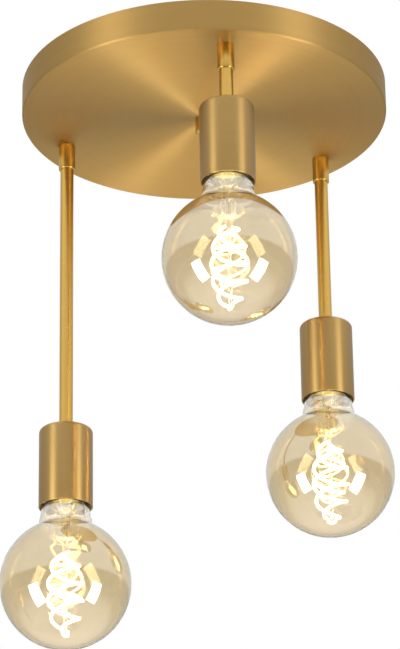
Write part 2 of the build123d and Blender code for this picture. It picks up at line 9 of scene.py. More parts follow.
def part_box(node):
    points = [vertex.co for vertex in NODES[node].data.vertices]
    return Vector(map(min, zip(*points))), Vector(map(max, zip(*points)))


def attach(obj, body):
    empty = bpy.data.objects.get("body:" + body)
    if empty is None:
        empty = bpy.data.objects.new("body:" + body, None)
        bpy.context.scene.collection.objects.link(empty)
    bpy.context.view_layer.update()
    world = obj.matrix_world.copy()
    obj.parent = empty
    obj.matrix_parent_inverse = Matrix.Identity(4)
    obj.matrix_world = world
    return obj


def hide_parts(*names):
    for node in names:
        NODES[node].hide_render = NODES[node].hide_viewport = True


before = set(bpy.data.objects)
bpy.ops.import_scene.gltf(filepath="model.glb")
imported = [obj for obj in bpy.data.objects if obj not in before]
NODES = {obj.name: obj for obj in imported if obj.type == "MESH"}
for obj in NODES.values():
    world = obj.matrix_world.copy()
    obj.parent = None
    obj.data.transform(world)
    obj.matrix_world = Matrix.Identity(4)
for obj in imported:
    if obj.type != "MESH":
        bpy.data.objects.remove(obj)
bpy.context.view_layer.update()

bl_info = {
    "name": "Three Rod Ceiling Light",
    "version": (1, 0, 0),
    "blender": (4, 5, 0),
    "location": "View3D > Sidebar > Ceiling Light",
    "description": "Dresses the packed ceiling light with its threads, globes, spiral filaments and finishes",
    "category": "Object",
}

MM = 0.001
FULL_TURN = 2 * math.pi
SHADES = {}

GLOBE_RADIUS = 47.5
PENDANTS = ("front", "right", "left")
LAMP_TURNS = {"front": 20, "right": 75, "left": 130}

# Places along a lamp's axis, from its globe's centre
CAP_RIM_LEVEL = 62.5 * MM
CAP_THREAD = (68.4 * MM, 83.5 * MM)
SHELL_THREAD = (70.5 * MM, 88 * MM)
CONTACT_TIP_LEVEL = 88 * MM
PINCH_LEVEL = 48.5 * MM
PINCH_REACH = 4.5 * MM

COLLAR_RADIUS = 6.25 * MM
TUBE_RADIUS = 5 * MM
TUBE_BORE = 4 * MM
NUT_HEIGHT = 3 * MM
CAP_OPENING = 8 * MM
SUPPORT_WIRE = 0.9 * MM
FILAMENT_TURNS = 2.25
FILAMENT_SWELL = 0.45

# The two soft lamps: bearing and elevation in degrees, distance, width and height, radiance
SOFTBOX_BEARING = 60
SOFTBOX_ELEVATION = -31
SOFTBOX_DISTANCE = 1.6
SOFTBOX_SPREAD = (0.52, 0.92)
SOFTBOX_RADIANCE = 6.5


def axis_of(node):
    """The upright centre line of a CAD node, in plan."""
    low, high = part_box(node)
    return (low.x + high.x) / 2, (low.y + high.y) / 2


def top_of(node):
    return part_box(node)[1].z


def foot_of(node):
    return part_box(node)[0].z


def size(default, name, description):
    """A length that a user would change, in metres."""
    return FloatProperty(
        name=name, description=description, default=default, unit="LENGTH", min=0, precision=5
    )


def tint(default, name, description):
    return FloatVectorProperty(
        name=name, description=description, default=default, subtype="COLOR", size=3, min=0, max=1
    )


# ---------------------------------------------------------------- sizes and colours


class CeilingLightSizes(bpy.types.PropertyGroup):
    """Lengths of the pieces made here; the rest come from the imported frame."""

    cup_sheet: size(1.0 * MM, "Cup sheet", "Thickness of a cup's sheet")
    cup_shoulder: size(3.5 * MM, "Cup shoulder", "Radius of the shoulder between a cup's top and wall")
    cup_lip: size(0.3 * MM, "Cup lip", "Rounding of a cup's mouth")
    bore: size(5.05 * MM, "Thread bore", "Radius of the bores for the fine tube thread")
    collar_chamfer: size(0.7 * MM, "Collar chamfer", "Chamfer at a collar's foot")
    nut_dome: size(2.0 * MM, "Cap nut dome", "Rounding of the cap nut's foot")
    nut_flats: size(7.0 * MM, "Nut flats", "From a nut's centre to a flat")
    fine_pitch: size(1.0 * MM, "Fine pitch", "Pitch of the tube thread")
    fine_depth: size(0.5 * MM, "Fine depth", "Depth of the tube thread")
    lamp_pitch: size(25.4 / 7 * MM, "Lamp pitch", "Pitch of the lamp thread")
    lamp_depth: size(0.95 * MM, "Lamp thread depth", "Depth of the rolled lamp thread")
    filament_radius: size(13.0 * MM, "Winding radius", "Radius of the filament's widest turn")
    filament_end_radius: size(2.6 * MM, "Winding end radius", "Radius at the filament's two ends")
    filament_top: size(24.0 * MM, "Winding top", "Height of the filament's ends over the globe's centre")
    filament_foot: size(-36.0 * MM, "Winding foot", "Height of the filament's hook under the globe's centre")
    filament_wire: size(2.0 * MM, "Filament thickness", "Diameter of the coated filament")


class CeilingLightColours(bpy.types.PropertyGroup):
    """Colours and finishes."""

    sheet_brass: tint((0.515, 0.325, 0.105), "Sheet brass", "Brushed brass of the canopy and cups")
    tube_brass: tint((0.61, 0.385, 0.095), "Tube brass", "Brass of rods and collars")
    amber: tint((0.78, 0.675, 0.47), "Amber film", "What one wall of a globe lets through")
    glow: tint((1.0, 0.84, 0.56), "Filament light", "Light of the filaments")
    live: tint((0.19, 0.055, 0.018), "Live lead", "Insulation of the live leads")
    neutral: tint((0.02, 0.09, 0.38), "Neutral lead", "Insulation of the neutral leads")


class CeilingLightStage(bpy.types.PropertyGroup):
    """Camera, lamps and floor."""

    camera_x: FloatProperty(name="Camera X", description="Camera place", default=-0.30145, unit="LENGTH")
    camera_y: FloatProperty(name="Camera Y", description="Camera place", default=-2.10010, unit="LENGTH")
    camera_z: FloatProperty(name="Camera Z", description="Camera place", default=-1.14335, unit="LENGTH")
    heading: FloatProperty(
        name="Heading", description="Camera heading from +Y towards +X", default=0.13998, subtype="ANGLE"
    )
    pitch: FloatProperty(
        name="Pitch", description="How far the camera looks up", default=0.42114, subtype="ANGLE"
    )
    roll: FloatProperty(name="Roll", description="Camera roll", default=-0.01486, subtype="ANGLE")
    lens: FloatProperty(
        name="Lens", description="Focal length in millimetres on a 36 mm frame", default=176.97, min=1
    )
    floor_level: FloatProperty(
        name="Floor level", description="Floor under the ceiling", default=-3.0, unit="LENGTH"
    )


# ---------------------------------------------------------------- finishes


class Reading:
    """A number, colour or place read from a finish's nodes; sums and products of numbers add Math nodes."""

    def __init__(self, finish, socket):
        self.finish = finish
        self.socket = socket

    def other(self, name):
        """Another output of the same node."""
        return Reading(self.finish, self.socket.node.outputs[name])

    def _math(self, operation, first, second):
        return self.finish.node("ShaderNodeMath", {"operation": operation}, {0: first, 1: second})

    def __add__(self, other):
        return self._math("ADD", self, other)

    __radd__ = __add__

    def __sub__(self, other):
        return self._math("SUBTRACT", self, other)

    def __rsub__(self, other):
        return self._math("SUBTRACT", other, self)

    def __mul__(self, other):
        return self._math("MULTIPLY", self, other)

    __rmul__ = __mul__

    def __truediv__(self, other):
        return self._math("DIVIDE", self, other)


class Finish:
    """A material built from nodes."""

    def __init__(self, name):
        self.material = bpy.data.materials.new(name)
        self.material.use_nodes = True
        self.tree = self.material.node_tree
        self.tree.nodes.clear()
        self.end = self.tree.nodes.new("ShaderNodeOutputMaterial")

    def node(self, kind, settings=None, inputs=None, output=0):
        """Add a node: its settings first, then the values or readings of its sockets."""
        made = self.tree.nodes.new(kind)
        for name, value in (settings or {}).items():
            if name == "stops":
                ramp = made.color_ramp.elements
                while len(ramp) < len(value):
                    ramp.new(0.5)
                for stop, (position, colour) in zip(ramp, value):
                    stop.position = position
                    stop.color = (*colour, 1)
            else:
                setattr(made, name, value)
        for name, value in (inputs or {}).items():
            if isinstance(value, Reading):
                self.tree.links.new(value.socket, made.inputs[name])
            else:
                made.inputs[name].default_value = value
        return Reading(self, made.outputs[output])

    def place(self):
        """Where a point of the piece is, in metres."""
        return self.node("ShaderNodeTexCoord", output="Object")

    def stretched(self, scale, shift=(0, 0, 0)):
        """The piece's place, shifted and scaled along each axis."""
        return self.node("ShaderNodeMapping", {}, {"Vector": self.place(), "Location": shift, "Scale": scale})

    def noise(self, where, scale, detail=2.0, roughness=0.5):
        return self.node(
            "ShaderNodeTexNoise", {}, {"Vector": where, "Scale": scale, "Detail": detail, "Roughness": roughness}, "Fac"
        )

    def between(self, factor, low, high):
        """A colour between two colours."""
        low = (*low, 1) if isinstance(low, (tuple, list)) else low
        high = (*high, 1) if isinstance(high, (tuple, list)) else high
        return self.node("ShaderNodeMix", {"data_type": "RGBA"}, {0: factor, 6: low, 7: high}, 2)

    def spread(self, reading, low, high, to_low=0.0, to_high=1.0):
        """A reading's range moved to another range, held at its ends."""
        return self.node(
            "ShaderNodeMapRange", {"clamp": True}, {0: reading, 1: low, 2: high, 3: to_low, 4: to_high}
        )

    def bump(self, height, distance, strength=1.0):
        return self.node("ShaderNodeBump", {}, {"Height": height, "Distance": distance, "Strength": strength})

    def surface(self, **sockets):
        """The Principled shader, by socket names with underscores for spaces."""
        inputs = {name.replace("_", " "): value for name, value in sockets.items()}
        for name, value in inputs.items():
            if isinstance(value, tuple) and len(value) == 3 and ("Color" in name or "Tint" in name):
                inputs[name] = (*value, 1)
        return self.node("ShaderNodeBsdfPrincipled", {}, inputs)

    def done(self, shader):
        self.tree.links.new(shader.socket, self.end.inputs["Surface"])
        return self.material


def scaled(colour, factor):
    return tuple(min(channel * factor, 1) for channel in colour)


def brushed_sheet(name, colour, roughness, grain=0.92, turned_face=False, lacquer=0.0):
    """Satin brass with fine lines that run round the piece, under a thin lacquer."""
    finish = Finish(name)
    if turned_face:
        x = finish.node("ShaderNodeSeparateXYZ", {}, {0: finish.place()}, "X")
        y, z = x.other("Y"), x.other("Z")
        radius = finish.node("ShaderNodeVectorMath", {"operation": "LENGTH"},
                             {0: finish.node("ShaderNodeCombineXYZ", {}, {0: x, 1: y})}, "Value")
        reach = finish.node("ShaderNodeMath", {"operation": "MAXIMUM"}, {0: radius, 1: 0.001})
        lines = finish.node(
            "ShaderNodeCombineXYZ", {}, {0: x / reach * 0.35, 1: y / reach * 0.35, 2: (radius + z) * 3000}
        )
        broad = finish.node(
            "ShaderNodeCombineXYZ", {}, {0: x / reach * 0.6, 1: y / reach * 0.6, 2: (radius + z) * 300}
        )
    else:
        lines = finish.stretched((12, 12, 3000))
        broad = finish.stretched((25, 25, 300))
    fine = finish.noise(lines, 1.0, 3.0, 0.65)
    wide = finish.noise(broad, 1.0, 2.0, 0.5)
    patches = finish.noise(finish.place(), 14.0, 3.0, 0.5)
    tone = fine * 0.35 + wide * 0.40 + patches * 0.25
    base = finish.between(finish.spread(tone, 0.3, 0.7), scaled(colour, 0.96), scaled(colour, 1.04))
    rough = finish.spread(fine * 0.5 + patches * 0.5, 0.3, 0.7, roughness - 0.035, roughness + 0.035)
    groove = finish.bump(fine, 0.000006, 0.5)
    return finish.done(
        finish.surface(
            Base_Color=base, Metallic=1.0, Roughness=rough, Normal=groove, Anisotropic=grain,
            Anisotropic_Rotation=0.25, Coat_Weight=lacquer, Coat_Roughness=0.3,
        )
    )


def smooth_metal(name, colour, roughness, mottle=0.1, grain=900.0):
    """Plain metal with a fine grain."""
    finish = Finish(name)
    grit = finish.noise(finish.place(), grain, 3.0, 0.6)
    patches = finish.noise(finish.place(), 90.0, 3.0, 0.5)
    base = finish.between(finish.spread(patches, 0.3, 0.7), scaled(colour, 1 - mottle), scaled(colour, 1 + mottle))
    rough = finish.spread(grit, 0.3, 0.7, roughness - 0.05, roughness + 0.05)
    return finish.done(
        finish.surface(Base_Color=base, Metallic=1.0, Roughness=rough, Normal=finish.bump(grit, 0.00002, 0.4))
    )


def zinc_plate(name):
    """Zinc-plated steel with a faint bluish and yellowish mottle."""
    finish = Finish(name)
    cells = finish.node(
        "ShaderNodeTexVoronoi", {}, {"Vector": finish.place(), "Scale": 260.0, "Randomness": 1.0}, "Color"
    )
    spangle = finish.node("ShaderNodeSeparateColor", {}, {0: cells}, "Red")
    cloud = finish.noise(finish.place(), 60.0, 3.0, 0.5)
    base = finish.between(finish.spread(cloud, 0.35, 0.65), (0.56, 0.56, 0.54), (0.66, 0.68, 0.70))
    rough = finish.spread(spangle, 0.0, 1.0, 0.30, 0.42)
    return finish.done(
        finish.surface(Base_Color=base, Metallic=1.0, Roughness=rough, Normal=finish.bump(spangle, 0.00001, 0.5))
    )


def moulded(name, colour, roughness, grain=700.0):
    """Moulded plastic or ceramic with a fine texture."""
    finish = Finish(name)
    skin = finish.noise(finish.place(), grain, 3.0, 0.55)
    flow = finish.noise(finish.place(), 45.0, 2.0, 0.5)
    base = finish.between(finish.spread(flow, 0.3, 0.7), scaled(colour, 0.88), scaled(colour, 1.1))
    rough = finish.spread(skin, 0.3, 0.7, roughness - 0.06, roughness + 0.06)
    return finish.done(
        finish.surface(
            Base_Color=base, Roughness=rough, Normal=finish.bump(skin, 0.00003, 0.5), Specular_IOR_Level=0.5
        )
    )


def globe_glass(name, centre_level, amber):
    """Amber glass with a lustre, whose film fades out on the neck; rays from lamps pass it."""
    finish = Finish(name)
    place = finish.place()
    height = finish.node("ShaderNodeSeparateXYZ", {}, {0: place}, "Z") - centre_level
    cloud = finish.noise(place, 30.0, 2.0, 0.5)
    neck = finish.spread(height + (cloud - 0.5) * 0.004, 0.042, 0.053)
    ball = finish.between(finish.spread(cloud, 0.3, 0.7), scaled(amber, 0.98), scaled(amber, 1.02))
    # The amber is lighter towards the bottom of the globe.
    film = finish.between(finish.spread(height, -0.044, -0.010), scaled(amber, 1.16), ball)
    base = finish.between(neck, film, (0.95, 0.945, 0.92))
    ripple = finish.noise(place, 55.0, 2.0, 0.5)
    skin = finish.bump(ripple, 0.0002, 0.12)
    glass = finish.surface(Base_Color=base, Roughness=0.0, IOR=1.5, Transmission_Weight=1.0, Normal=skin)
    lustre = finish.node("ShaderNodeBsdfGlossy", {}, {"Color": (0.98, 0.98, 0.95, 1), "Roughness": 0.0, "Normal": skin})
    facing = finish.node("ShaderNodeLayerWeight", {}, {"Blend": 0.5, "Normal": skin}, "Facing")
    coated = finish.node(
        "ShaderNodeMixShader", {}, {0: facing * facing * 0.14 + 0.13, 1: glass, 2: lustre}
    )
    clear = finish.node("ShaderNodeBsdfTransparent", {}, {"Color": base})
    lamp_ray = finish.node("ShaderNodeLightPath", output="Is Shadow Ray")
    return finish.done(finish.node("ShaderNodeMixShader", {}, {0: lamp_ray, 1: coated, 2: clear}))


def stem_glass(name):
    """Clear glass of the stem, with faint drawing lines."""
    finish = Finish(name)
    lines = finish.noise(finish.stretched((400, 400, 60)), 1.0, 2.0, 0.5)
    base = finish.between(finish.spread(lines, 0.3, 0.7), (0.93, 0.93, 0.90), (0.98, 0.98, 0.97))
    glass = finish.surface(
        Base_Color=base, Roughness=0.02, IOR=1.5, Transmission_Weight=1.0, Normal=finish.bump(lines, 0.0001, 0.3)
    )
    clear = finish.node("ShaderNodeBsdfTransparent", {}, {"Color": base})
    lamp_ray = finish.node("ShaderNodeLightPath", output="Is Shadow Ray")
    return finish.done(finish.node("ShaderNodeMixShader", {}, {0: lamp_ray, 1: glass, 2: clear}))


def glowing_coat(name, colour, strength):
    """The phosphor coat of a lit filament, its glow a little uneven along the chips."""
    finish = Finish(name)
    chips = finish.noise(finish.place(), 700.0, 1.0, 0.5)
    glow = finish.between(finish.spread(chips, 0.35, 0.65), colour, scaled(colour, 1.12))
    base = finish.between(chips, (0.95, 0.72, 0.25), (1.0, 0.80, 0.35))
    return finish.done(
        finish.surface(
            Base_Color=base, Roughness=0.6, Emission_Color=glow, Emission_Strength=strength,
            Normal=finish.bump(chips, 0.00005, 0.4),
        )
    )


def shade(name, maker, *settings):
    """A finish by name, made the first time it is asked for."""
    if name not in SHADES:
        SHADES[name] = maker(name, *settings)
    return SHADES[name]


def dress(piece, material):
    """Give a piece one finish."""
    mesh = piece.data
    if len(mesh.materials):
        for index in range(len(mesh.materials)):
            mesh.materials[index] = material
    else:
        mesh.materials.append(material)


def colours():
    return bpy.context.scene.ceiling_light_colours


def sizes():
    return bpy.context.scene.ceiling_light_sizes


def sheet_brass():
    return tuple(colours().sheet_brass)


def tube_brass():
    return tuple(colours().tube_brass)


# ---------------------------------------------------------------- shaping


def outline(bm, points, closed=True):
    """A wire through (radius, height) points."""
    corners = [bm.verts.new((radius, 0, height)) for radius, height in points]
    ends = corners[1:] + corners[:1] if closed else corners[1:]
    for first, second in zip(corners, ends):
        bm.edges.new((first, second))
    return corners


def round_corner(bm, corner, reach, segments):
    """Round one corner of a wire over a reach along its two edges."""
    bmesh.ops.bevel(
        bm, geom=[corner], offset=reach, offset_type="OFFSET", segments=segments, profile=0.5,
        affect="VERTICES", material=-1,
    )


def arc_reach(radius, angle):
    """How far the handles of a Bezier arc reach, for an arc of some degrees."""
    return 4 / 3 * math.tan(math.radians(angle) / 4) * radius


def profile(bm, knots, steps):
    """A smooth wire through knots: radius, height and way in degrees, and the reach of both handles (mm)."""
    curve = bpy.data.curves.new("profile", "CURVE")
    curve.dimensions = "3D"
    curve.resolution_u = steps
    spline = curve.splines.new("BEZIER")
    spline.bezier_points.add(len(knots) - 1)
    for point, (radius, height, way, back, ahead) in zip(spline.bezier_points, knots):
        course = Vector((math.cos(math.radians(way)), 0, math.sin(math.radians(way))))
        place = Vector((radius, 0, height))
        point.handle_left_type = point.handle_right_type = "FREE"
        point.co = place * MM
        point.handle_left = (place - course * back) * MM
        point.handle_right = (place + course * ahead) * MM
    carrier = bpy.data.objects.new("profile", curve)
    bpy.context.scene.collection.objects.link(carrier)
    bpy.context.view_layer.update()
    mesh = bpy.data.meshes.new_from_object(carrier.evaluated_get(bpy.context.evaluated_depsgraph_get()))
    bm.from_mesh(mesh)
    bpy.data.meshes.remove(mesh)
    bpy.data.objects.remove(carrier)
    bpy.data.curves.remove(curve)


def spin_round(bm, steps=96):
    """Turn all that is in a bmesh once round the upright axis, and close it."""
    bmesh.ops.spin(
        bm, geom=bm.verts[:] + bm.edges[:], cent=(0, 0, 0), axis=(0, 0, 1), dvec=(0, 0, 0),
        angle=FULL_TURN, steps=steps, use_merge=True,
    )
    bmesh.ops.remove_doubles(bm, verts=bm.verts[:], dist=1e-7)
    bmesh.ops.recalc_face_normals(bm, faces=bm.faces[:])


def wind_thread(bm, radius, pitch, depth, low, high, fade, band):
    """Press a right-hand thread into the walls that lie within a band of radii, between two heights."""
    for vert in bm.verts:
        reach = math.hypot(vert.co.x, vert.co.y)
        height = vert.co.z
        if band[0] < reach < band[1] and low < height < high:
            ease = min(1, (height - low) / fade, (high - height) / fade)
            phase = height / pitch - math.atan2(vert.co.y, vert.co.x) / FULL_TURN
            cut = depth * ease * (0.5 - 0.5 * math.cos(FULL_TURN * phase))
            vert.co.x *= (reach - cut) / reach
            vert.co.y *= (reach - cut) / reach


def finished(bm, name, body, material, replaced=(), crease=35):
    """Turn a bmesh into a finished piece that rides on a body."""
    mesh = bpy.data.meshes.new(name)
    bm.to_mesh(mesh)
    bm.free()
    mesh.shade_smooth()
    mesh.set_sharp_from_angle(angle=math.radians(crease))
    return adopted(bpy.data.objects.new(name, mesh), body, material, replaced)


def adopted(piece, body, material, replaced=()):
    bpy.context.scene.collection.objects.link(piece)
    dress(piece, material)
    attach(piece, body)
    if replaced:
        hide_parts(*replaced)
    return piece


def wire_mesh(paths, thickness, resolution=6, order=3):
    """Smooth round wires through control points, as one bmesh."""
    curve = bpy.data.curves.new("wire", "CURVE")
    curve.dimensions = "3D"
    curve.bevel_depth = thickness / 2
    curve.bevel_resolution = 4
    curve.resolution_u = resolution
    curve.use_fill_caps = True
    for points in paths:
        spline = curve.splines.new("NURBS")
        spline.points.add(len(points) - 1)
        for knot, point in zip(spline.points, points):
            knot.co = (*point, 1)
        spline.order_u = order
        spline.use_endpoint_u = True
    carrier = bpy.data.objects.new("wire", curve)
    bpy.context.scene.collection.objects.link(carrier)
    bpy.context.view_layer.update()
    mesh = bpy.data.meshes.new_from_object(carrier.evaluated_get(bpy.context.evaluated_depsgraph_get()))
    bm = bmesh.new()
    bm.from_mesh(mesh)
    bpy.data.meshes.remove(mesh)
    bpy.data.objects.remove(carrier)
    bpy.data.curves.remove(curve)
    return bm


def moved_to(bm, x, y, z=0, turn=0):
    """Turn what is in a bmesh about the upright axis, and move it to its place."""
    bmesh.ops.rotate(bm, verts=bm.verts[:], cent=(0, 0, 0), matrix=Matrix.Rotation(math.radians(turn), 3, "Z"))
    bmesh.ops.translate(bm, verts=bm.verts[:], vec=(x, y, z))


def gather(whole, bm):
    """Add one bmesh to another."""
    part = bpy.data.meshes.new("part")
    bm.to_mesh(part)
    bm.free()
    whole.from_mesh(part)
    bpy.data.meshes.remove(part)


# Knots of the spun glass, in mm from the globe's centre: radius, height, way, reach back, reach ahead
GLOBE_KNOTS = (
    (0, -GLOBE_RADIUS, 0, 0, arc_reach(GLOBE_RADIUS, 90)),
    (GLOBE_RADIUS, 0, 90, arc_reach(GLOBE_RADIUS, 90), arc_reach(GLOBE_RADIUS, 61.7)),
    (22.5, 41.8, 151.7, arc_reach(GLOBE_RADIUS, 61.7), arc_reach(6, 61.7)),
    (19.3, 47.1, 90, arc_reach(6, 61.7), 2),
    (18.2, 53, 95, 2, 4.4),
    (13.4, 61.4, 165, 3.2, 0.6),
    (12.7, 62.6, 90, 0.6, 1),
    (12.7, 66.4, 90, 1, 0),
)
STEM_KNOTS = (
    (0, -36.4, 0, 0, 0.55),
    (1, -35.4, 90, 0.55, 20),
    (1, 43, 90, 20, 1),
    (3.4, 46, 90, 1.5, 1),
    (3.4, 51, 90, 1, 2),
    (6.4, 58.5, 60, 3, 3),
    (11.6, 65.4, 20, 2, 0.2),
    (11.6, 66, 160, 0.2, 0.2),
    (6.0, 59.2, 240, 3, 3),
    (2.4, 52, 270, 2, 1),
    (0, 50.5, 180, 1, 0),
)

# ---------------------------------------------------------------- pieces


class LIGHT_OT_canopy(bpy.types.Operator):
    """Brush the canopy pan and make the domed cap nut at its centre"""

    bl_idname = "ceiling_light.canopy"
    bl_label = "Canopy"

    def execute(self, context):
        dress(NODES["canopy_pan"], shade("brushed_canopy", brushed_sheet, sheet_brass(), 0.50, 0.92, True))
        low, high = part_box("cap_nut")
        radius = (high.x - low.x) / 2
        bm = bmesh.new()
        corners = outline(
            bm,
            [(0, low.z), (radius, low.z), (radius, high.z), (sizes().bore, high.z),
             (sizes().bore, low.z + 3 * MM), (0, low.z + 3 * MM)],
            closed=False,
        )
        round_corner(bm, corners[1], sizes().nut_dome, 6)
        round_corner(bm, corners[2], 0.25 * MM, 2)
        spin_round(bm)
        finished(
            bm, "domed_cap_nut", "fixture", shade("turned_brass", brushed_sheet, tube_brass(), 0.24), ["cap_nut"],
        )
        return {"FINISHED"}


class LIGHT_OT_rods(bpy.types.Operator):
    """Finish the rods and turn their collars"""

    bl_idname = "ceiling_light.rods"
    bl_label = "Rods and collars"

    def execute(self, context):
        brass = shade("drawn_brass", brushed_sheet, tube_brass(), 0.24)
        low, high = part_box("rod_collars")
        for index, name in enumerate(PENDANTS):
            dress(NODES[f"{name}_rod"], brass)
            bm = bmesh.new()
            corners = outline(
                bm,
                [(sizes().bore, high.z), (COLLAR_RADIUS, high.z), (COLLAR_RADIUS, low.z), (sizes().bore, low.z)],
            )
            round_corner(bm, corners[2], sizes().collar_chamfer, 3)
            round_corner(bm, corners[1], 0.2 * MM, 2)
            spin_round(bm, steps=64)
            moved_to(bm, *axis_of(f"{name}_rod"))
            finished(
                bm, f"{name}_collar", "fixture", brass, ["rod_collars"] if index == 0 else ()
            )
        return {"FINISHED"}


class LIGHT_OT_cups(bpy.types.Operator):
    """Spin the three cups with a rolled shoulder and an eased lip"""

    bl_idname = "ceiling_light.cups"
    bl_label = "Cups"

    def execute(self, context):
        brass = shade("brushed_cup", brushed_sheet, scaled(sheet_brass(), 0.94), 0.40, 0.97, False, 0.3)
        sheet = sizes().cup_sheet
        for name in PENDANTS:
            low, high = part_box(f"{name}_cup")
            radius = (high.x - low.x) / 2
            bm = bmesh.new()
            corners = outline(
                bm,
                [(sizes().bore, high.z), (radius, high.z), (radius, low.z), (radius - sheet, low.z),
                 (radius - sheet, high.z - sheet), (sizes().bore, high.z - sheet)],
            )
            round_corner(bm, corners[1], sizes().cup_shoulder, 8)
            round_corner(bm, corners[4], sizes().cup_shoulder - sheet, 6)
            round_corner(bm, corners[2], sizes().cup_lip, 3)
            round_corner(bm, corners[3], sizes().cup_lip, 3)
            spin_round(bm, steps=128)
            moved_to(bm, *axis_of(f"{name}_cup"))
            finished(bm, f"{name}_spun_cup", "fixture", brass, [f"{name}_cup"])
        return {"FINISHED"}


class LIGHT_OT_fixings(bpy.types.Operator):
    """Thread the stud and nipples, chamfer the nuts and plate the bracket"""

    bl_idname = "ceiling_light.fixings"
    bl_label = "Bracket, stud, nipples and nuts"

    def execute(self, context):
        zinc = shade("zinc_plate", zinc_plate)
        for node in ("ceiling_bracket", "lock_washers", "earth_screw"):
            dress(NODES[node], zinc)
        stud_low, stud_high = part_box("bracket_stud")
        self.threaded_tube("threaded_stud", [(0, 0)], stud_low.z, stud_high.z, ["bracket_stud"], zinc)
        low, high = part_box("pendant_nipples")
        places = [axis_of(f"{name}_rod") for name in PENDANTS]
        self.threaded_tube("threaded_nipples", places, low.z, high.z, ["pendant_nipples"], zinc)
        self.nuts(zinc)
        return {"FINISHED"}

    def threaded_tube(self, name, places, low, high, replaced, material):
        """Tubes with the fine thread along their whole length."""
        radius, bore, chamfer = TUBE_RADIUS, TUBE_BORE, 0.5 * MM
        whole = bmesh.new()
        for place in places:
            bm = bmesh.new()
            outline(
                bm,
                [(bore, high), (radius - chamfer, high), (radius, high - chamfer), (radius, low + chamfer),
                 (radius - chamfer, low), (bore, low)],
            )
            walls = [
                edge for edge in bm.edges
                if all(abs(vert.co.x - radius) < 1e-7 for vert in edge.verts)
            ]
            rows = round((high - low) / sizes().fine_pitch * 8)
            bmesh.ops.subdivide_edges(bm, edges=walls, cuts=rows)
            spin_round(bm, steps=40)
            wind_thread(
                bm, radius, sizes().fine_pitch, sizes().fine_depth, low + chamfer, high - chamfer, 0.6 * MM,
                (radius - 0.05 * MM, radius + 0.05 * MM),
            )
            moved_to(bm, *place)
            gather(whole, bm)
        finished(whole, name, "fixture", material, replaced, crease=60)

    def nuts(self, material):
        """Hexagon nuts with chamfered corners, eight alike."""
        height = NUT_HEIGHT
        chamfer_start = sizes().nut_flats * 0.97
        spots = [(0, 0, -8 * MM), (0, 0, -13 * MM)]
        for name in PENDANTS:
            spots.append((*axis_of(f"{name}_rod"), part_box("pendant_nipples")[1].z - 4.2 * MM))
            spots.append((*axis_of(f"{name}_rod"), top_of(f"{name}_cup") - 4 * MM))
        whole = bmesh.new()
        for x, y, z in spots:
            bm = bmesh.new()
            flats = sizes().nut_flats
            corners = outline(
                bm, [(sizes().bore, 0), (flats, 0), (flats, height), (sizes().bore, height)]
            )
            bmesh.ops.subdivide_edges(bm, edges=bm.edges[:], cuts=5)
            spin_round(bm, steps=60)
            for vert in bm.verts:
                reach = math.hypot(vert.co.x, vert.co.y)
                if reach > sizes().bore + 0.01 * MM:
                    angle = math.atan2(vert.co.y, vert.co.x)
                    off_flat = math.degrees(angle) % 60 - 30
                    stretch = 1 / math.cos(math.radians(off_flat))
                    part_way = (reach - sizes().bore) / (flats - sizes().bore)
                    new_reach = sizes().bore + (flats * stretch - sizes().bore) * part_way
                    vert.co.x *= new_reach / reach
                    vert.co.y *= new_reach / reach
                    over = max(0, new_reach - chamfer_start) * math.tan(math.radians(30))
                    middle = height / 2
                    reach_up = middle - over
                    if abs(vert.co.z - middle) > reach_up:
                        vert.co.z = middle + math.copysign(reach_up, vert.co.z - middle)
            moved_to(bm, x, y, z)
            gather(whole, bm)
        finished(whole, "hexagon_nuts", "fixture", material, ["lock_nuts"], crease=25)


class LIGHT_OT_terminal(bpy.types.Operator):
    """Finish the terminal block, its clamps and screws, and the leads"""

    bl_idname = "ceiling_light.terminal"
    bl_label = "Terminal block and leads"

    def execute(self, context):
        dress(NODES["terminal_block"], shade("white_moulding", moulded, (0.80, 0.79, 0.76), 0.42))
        dress(NODES["terminal_clamps"], shade("clamp_brass", smooth_metal, (0.62, 0.44, 0.20), 0.32))
        dress(NODES["terminal_screws"], shade("screw_steel", smooth_metal, (0.58, 0.57, 0.55), 0.30))
        live = shade("live_insulation", moulded, tuple(colours().live), 0.48, 1500.0)
        neutral = shade("neutral_insulation", moulded, tuple(colours().neutral), 0.48, 1500.0)
        for name in PENDANTS:
            dress(NODES[f"{name}_live_lead"], live)
            dress(NODES[f"{name}_neutral_lead"], neutral)
        dress(NODES["earth_lead"], self.striped())
        return {"FINISHED"}

    def striped(self):
        """Green insulation with a yellow stripe."""
        finish = Finish("earth_insulation")
        place = finish.place()
        height = finish.node("ShaderNodeSeparateXYZ", {}, {0: place}, "Z")
        skin = finish.noise(place, 1500.0, 2.0, 0.5)
        wander = finish.noise(place, 40.0, 1.0, 0.5)
        stripe = finish.spread(height + wander * 0.002, -0.0151, -0.0149)
        base = finish.between(stripe, (0.02, 0.20, 0.05), (0.70, 0.52, 0.03))
        return finish.done(
            finish.surface(
                Base_Color=base, Roughness=finish.spread(skin, 0.3, 0.7, 0.42, 0.54),
                Normal=finish.bump(skin, 0.00002, 0.4),
            )
        )


